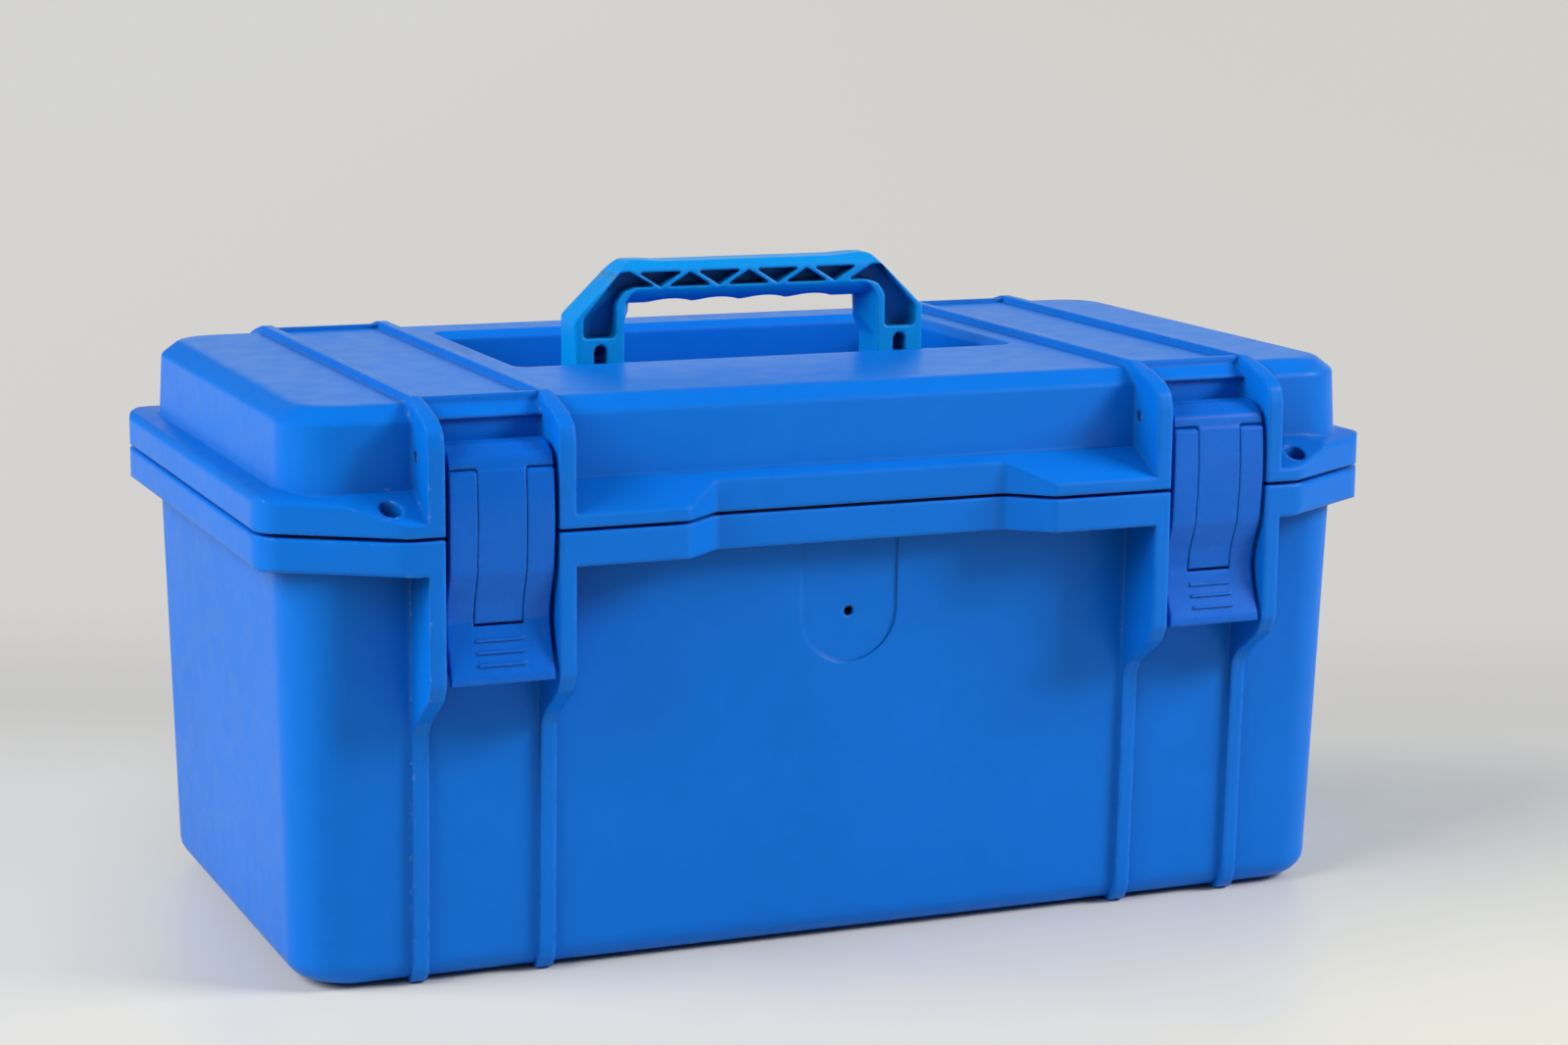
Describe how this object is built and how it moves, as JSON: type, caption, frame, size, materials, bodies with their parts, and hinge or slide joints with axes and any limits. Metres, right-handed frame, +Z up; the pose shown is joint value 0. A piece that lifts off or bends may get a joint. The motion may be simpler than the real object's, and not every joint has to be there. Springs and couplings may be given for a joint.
{
  "type": "hard tool case",
  "caption": "Moulded hard tool case with a deep drafted tub, hinged lid, draw latches, folding carry handle and padlock holes.",
  "frame": {"origin": "on the floor under the middle of the closed case", "axes": "+X along the case to the right as seen from the latch side, +Y to the rear hinge, +Z up"},
  "size_m": [0.444, 0.258, 0.2475],
  "materials": {
    "shell": "blue moulded polypropylene, fine texture, semi-matte",
    "trim": "blue moulded plastic, smooth, semi-matte",
    "seal": "black sponge rubber",
    "pin": "drawn steel wire"
  },
  "bodies": {
    "tub": {"body_tub": "shell"},
    "lid": {"lid_shell": "shell", "lid_gasket": "seal", "latch_pin_left": "pin", "latch_pin_right": "pin", "handle_pin_left": "pin", "handle_pin_right": "pin", "hinge_pin_left": "pin", "hinge_pin_right": "pin"},
    "handle": {"carry_handle": "trim"},
    "link_left": {"latch_link_left": "trim", "lever_pin_left": "pin"},
    "link_right": {"latch_link_right": "trim", "lever_pin_right": "pin"},
    "lever_left": {"latch_lever_left": "trim"},
    "lever_right": {"latch_lever_right": "trim"}
  },
  "joints": [
    {"name": "lid_hinge", "type": "hinge", "parent": "tub", "child": "lid", "pos_m": [0, 0.121, 0.1764], "axis": [-1, 0, 0], "range_deg": [0, 98]},
    {"name": "handle_fold", "type": "hinge", "parent": "lid", "child": "handle", "pos_m": [0, 0, 0.2015], "axis": [-1, 0, 0], "range_deg": [0, 90]},
    {"name": "link_left_swing", "type": "hinge", "parent": "lid", "child": "link_left", "pos_m": [-0.1417, -0.1135, 0.194], "axis": [-1, 0, 0], "range_deg": [0, 90]},
    {"name": "link_right_swing", "type": "hinge", "parent": "lid", "child": "link_right", "pos_m": [0.1417, -0.1135, 0.194], "axis": [-1, 0, 0], "range_deg": [0, 90]},
    {"name": "lever_left_pull", "type": "hinge", "parent": "link_left", "child": "lever_left", "pos_m": [-0.1417, -0.1218, 0.1846], "axis": [-1, 0, 0], "range_deg": [0, 80]},
    {"name": "lever_right_pull", "type": "hinge", "parent": "link_right", "child": "lever_right", "pos_m": [0.1417, -0.1218, 0.1846], "axis": [-1, 0, 0], "range_deg": [0, 80]}
  ]
}
